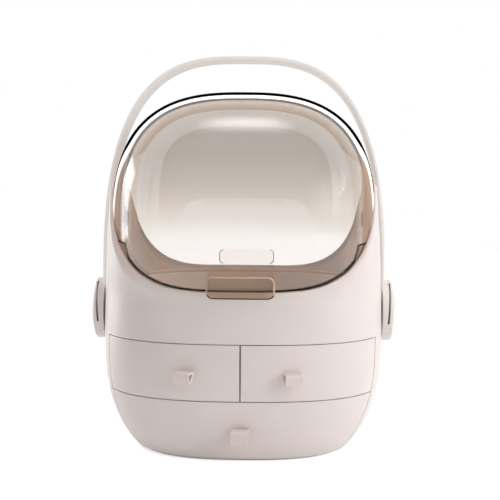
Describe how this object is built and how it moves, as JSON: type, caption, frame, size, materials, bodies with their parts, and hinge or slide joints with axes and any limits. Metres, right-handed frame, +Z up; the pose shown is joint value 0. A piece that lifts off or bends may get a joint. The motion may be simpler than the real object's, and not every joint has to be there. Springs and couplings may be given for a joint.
{
  "type": "makeup organizer",
  "caption": "Egg-shaped cosmetics organizer with nested tinted visor lids over an open tray, pull-out drawers with loop pulls, and a carrying handle that swings over the lids.",
  "frame": {"origin": "middle of the base plate's underside, straight below the lids' pivot axis", "axes": "+X runs along the width, to the right of someone facing the drawers; -Y is the front, where the drawers open; +Z is up"},
  "size_m": [0.3032, 0.2438, 0.3774],
  "materials": {
    "shell": "satin moulded ABS, warm off-white",
    "trim": "satin moulded plastic, beige",
    "tinted_lid": "polished clear plastic with a smoky tea tint",
    "pin": "moulded plastic, dark brown",
    "soft_pull": "smooth soft strip, beige",
    "steel": "plain zinc-coated steel"
  },
  "bodies": {
    "base": {"lower_casing": "shell", "base_plate": "shell", "drawer_shelf": "shell", "drawer_divider": "shell", "deck_plate": "shell", "shell_screws": "steel", "upper_shell": "shell", "upper_tray": "shell", "lid_pin_left": "pin", "lid_pin_right": "pin", "handle_axle_left": "steel", "handle_axle_right": "steel"},
    "front_visor": {"front_lid": "tinted_lid", "front_lid_tab": "tinted_lid"},
    "rear_visor": {"rear_lid": "tinted_lid", "rear_lid_tab": "tinted_lid"},
    "carrying_handle": {"handle": "trim", "hub_cap_left": "trim", "hub_cap_right": "trim"},
    "left_drawer": {"drawer_box_left": "shell", "drawer_front_left": "shell", "pull_left": "soft_pull", "pull_clip_left": "steel"},
    "right_drawer": {"drawer_box_right": "shell", "drawer_front_right": "shell", "pull_right": "soft_pull", "pull_clip_right": "steel"},
    "lower_drawer": {"drawer_box_lower": "shell", "drawer_front_lower": "shell", "pull_lower": "soft_pull", "pull_clip_lower": "steel"}
  },
  "joints": [
    {"name": "front_lid_open", "type": "hinge", "parent": "base", "child": "front_visor", "pos_m": [0, 0, 0.2195], "axis": [-1, 0, 0], "range_deg": [0, 105]},
    {"name": "rear_lid_open", "type": "hinge", "parent": "base", "child": "rear_visor", "pos_m": [0, 0, 0.2195], "axis": [1, 0, 0], "range_deg": [0, 105]},
    {"name": "handle_swing", "type": "hinge", "parent": "base", "child": "carrying_handle", "pos_m": [0, 0, 0.129], "axis": [1, 0, 0], "range_deg": [-90, 90]},
    {"name": "left_drawer_slide", "type": "slide", "parent": "base", "child": "left_drawer", "axis": [0, -1, 0], "range_m": [0, 0.105]},
    {"name": "right_drawer_slide", "type": "slide", "parent": "base", "child": "right_drawer", "axis": [0, -1, 0], "range_m": [0, 0.105]},
    {"name": "lower_drawer_slide", "type": "slide", "parent": "base", "child": "lower_drawer", "axis": [0, -1, 0], "range_m": [0, 0.105]}
  ]
}
